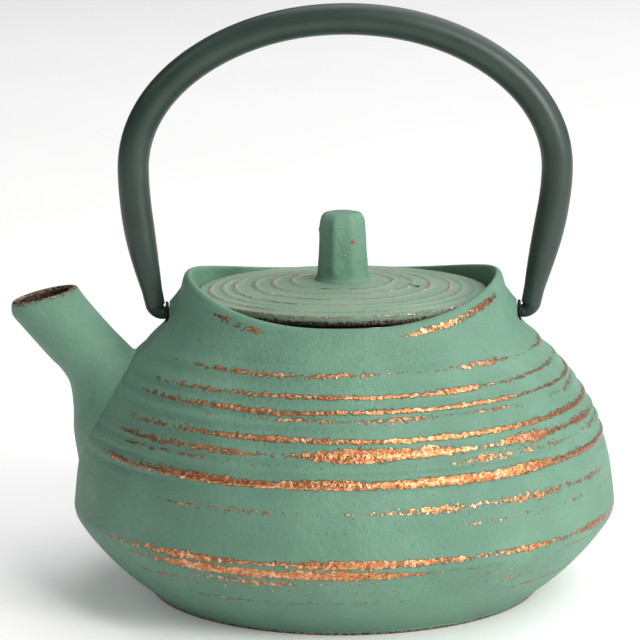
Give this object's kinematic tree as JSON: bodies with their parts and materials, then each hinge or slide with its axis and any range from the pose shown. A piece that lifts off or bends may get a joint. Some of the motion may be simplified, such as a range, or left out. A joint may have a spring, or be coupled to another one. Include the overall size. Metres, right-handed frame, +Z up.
{
  "type": "cast iron teapot",
  "caption": "Squat ringed cast iron teapot with a short spout, a lift-off lid with a tall knob, a strainer basket and a folding overhead handle.",
  "frame": {"origin": "centre of the pot's flat base, on the axis of the mouth and the lid", "axes": "+Z up along the pot's axis; the spout points to -X; the handle stands upright in the XZ plane and swings about X"},
  "size_m": [0.167, 0.1506, 0.1623],
  "materials": {
    "pot_paint": "matt blue-green paint on cast iron, rubbed through to copper on the raised rings, bare dark iron inside and underneath",
    "handle_paint": "satin dark grey-green paint on steel",
    "stainless": "fine brushed stainless steel, perforated in the wall and the bottom",
    "rivet_steel": "plain zinc-grey steel"
  },
  "bodies": {
    "pot": {"pot_body": "pot_paint", "spout": "pot_paint", "pivot_washer_left": "handle_paint", "pivot_washer_right": "handle_paint"},
    "handle": {"handle_tube": "handle_paint", "handle_hook_left": "handle_paint", "handle_hook_right": "handle_paint"},
    "infuser": {"infuser_rim": "stainless", "infuser_wall": "stainless", "infuser_bottom": "stainless"},
    "lid": {"lid_plate": "pot_paint", "lid_knob": "pot_paint", "knob_rivet": "rivet_steel", "knob_washer": "rivet_steel"}
  },
  "joints": [
    {"name": "handle_swing", "type": "hinge", "parent": "pot", "child": "handle", "pos_m": [0, 0, 0.077], "axis": [1, 0, 0], "range_deg": [-105, 105]},
    {"name": "infuser_lift", "type": "slide", "parent": "pot", "child": "infuser", "axis": [0, 0, 1], "range_m": [0, 0.04]},
    {"name": "lid_lift", "type": "slide", "parent": "infuser", "child": "lid", "axis": [0, 0, 1], "range_m": [0, 0.044]}
  ]
}
